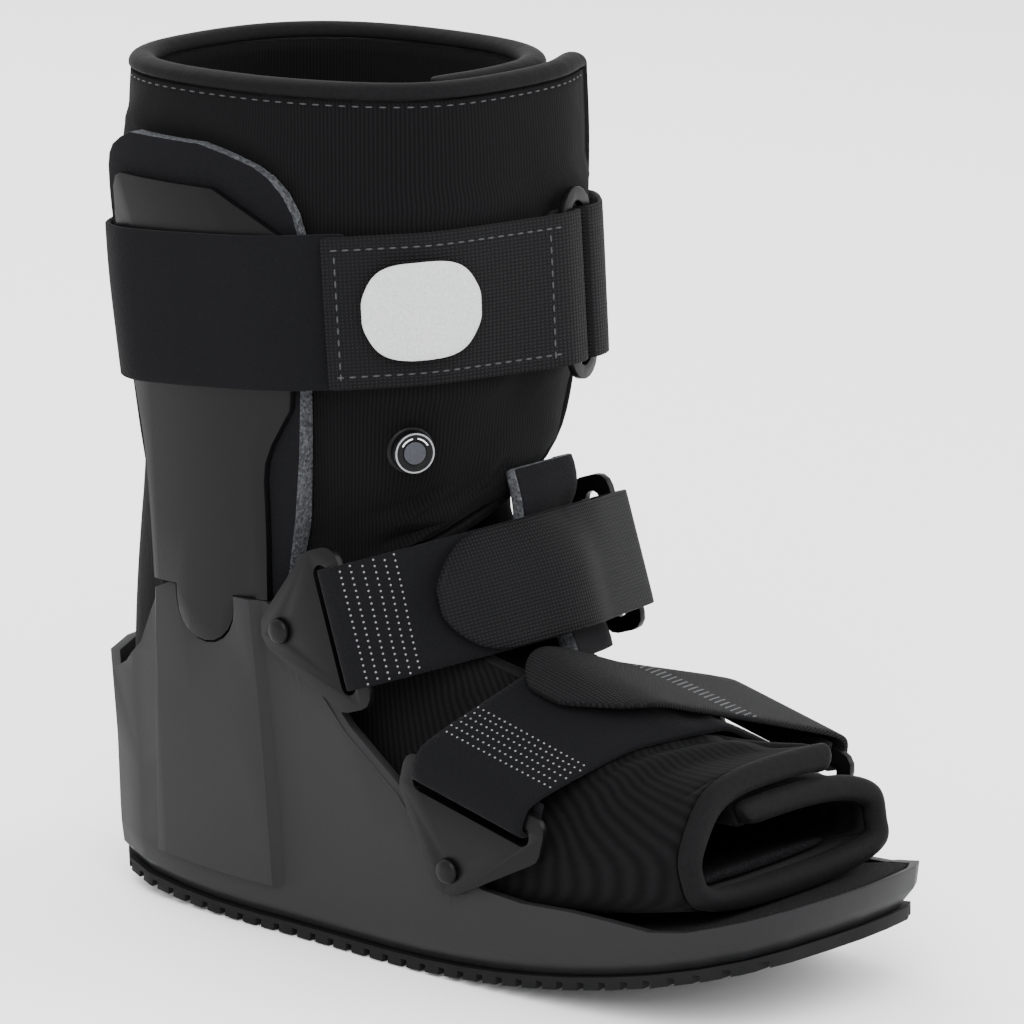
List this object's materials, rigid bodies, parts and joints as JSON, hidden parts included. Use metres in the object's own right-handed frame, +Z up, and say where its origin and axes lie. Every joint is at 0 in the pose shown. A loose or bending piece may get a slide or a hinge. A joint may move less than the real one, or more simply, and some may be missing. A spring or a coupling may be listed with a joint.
{
  "type": "medical walking boot",
  "caption": "Short rocker-soled walking boot for an injured foot: open-toed padded wrap liner in a hard shell with side uprights and straps.",
  "frame": {"origin": "bottom centre of the bounding box, on the floor under the rocker", "axes": "+Z up, -Y towards the toe, -X the side with the air valve"},
  "size_m": [0.1341, 0.2905, 0.2717],
  "materials": {
    "rubber": "matt moulded rubber",
    "shell_plastic": "fine-grained moulded plastic",
    "black_foam": "closed-cell foam",
    "liner_fabric": "fine-ribbed knit over foam",
    "webbing": "woven tape",
    "fleece": "short fleece",
    "grey_foam": "foam laminated with loop cloth",
    "fuzzy_loop": "brushed loop strap",
    "grey_patch": "light grey loop cloth",
    "black_plastic": "satin moulded plastic"
  },
  "bodies": {
    "boot": {"outsole": "rubber", "shell": "shell_plastic", "footbed": "black_foam", "liner": "liner_fabric", "edge_binding": "webbing", "sole_pad": "fleece", "upright_pad_near": "grey_foam", "upright_near": "black_plastic", "upright_pad_far": "grey_foam", "upright_far": "black_plastic", "instep_pad": "grey_foam", "ankle_rivet_near": "black_plastic", "ankle_bracket_near": "black_plastic", "ankle_rivet_far": "black_plastic", "ankle_bracket_far": "black_plastic", "ankle_strap": "fuzzy_loop", "ankle_strap_tab": "webbing", "forefoot_rivet_near": "black_plastic", "forefoot_bracket_near": "black_plastic", "forefoot_rivet_far": "black_plastic", "forefoot_bracket_far": "black_plastic", "forefoot_strap": "fuzzy_loop", "forefoot_strap_tab": "webbing", "leg_strap": "fuzzy_loop", "leg_ring": "black_plastic", "leg_strap_tab": "webbing", "leg_strap_loop": "webbing", "leg_patch": "grey_patch", "valve_collar": "black_plastic"},
    "dial": {"valve_dial": "black_plastic"}
  },
  "joints": [
    {"name": "valve_dial_turn", "type": "hinge", "parent": "boot", "child": "dial", "pos_m": [-0.03635, 0.0045, 0.159], "axis": [-0.515, -0.8572, 0], "range_deg": [0, 90]}
  ]
}
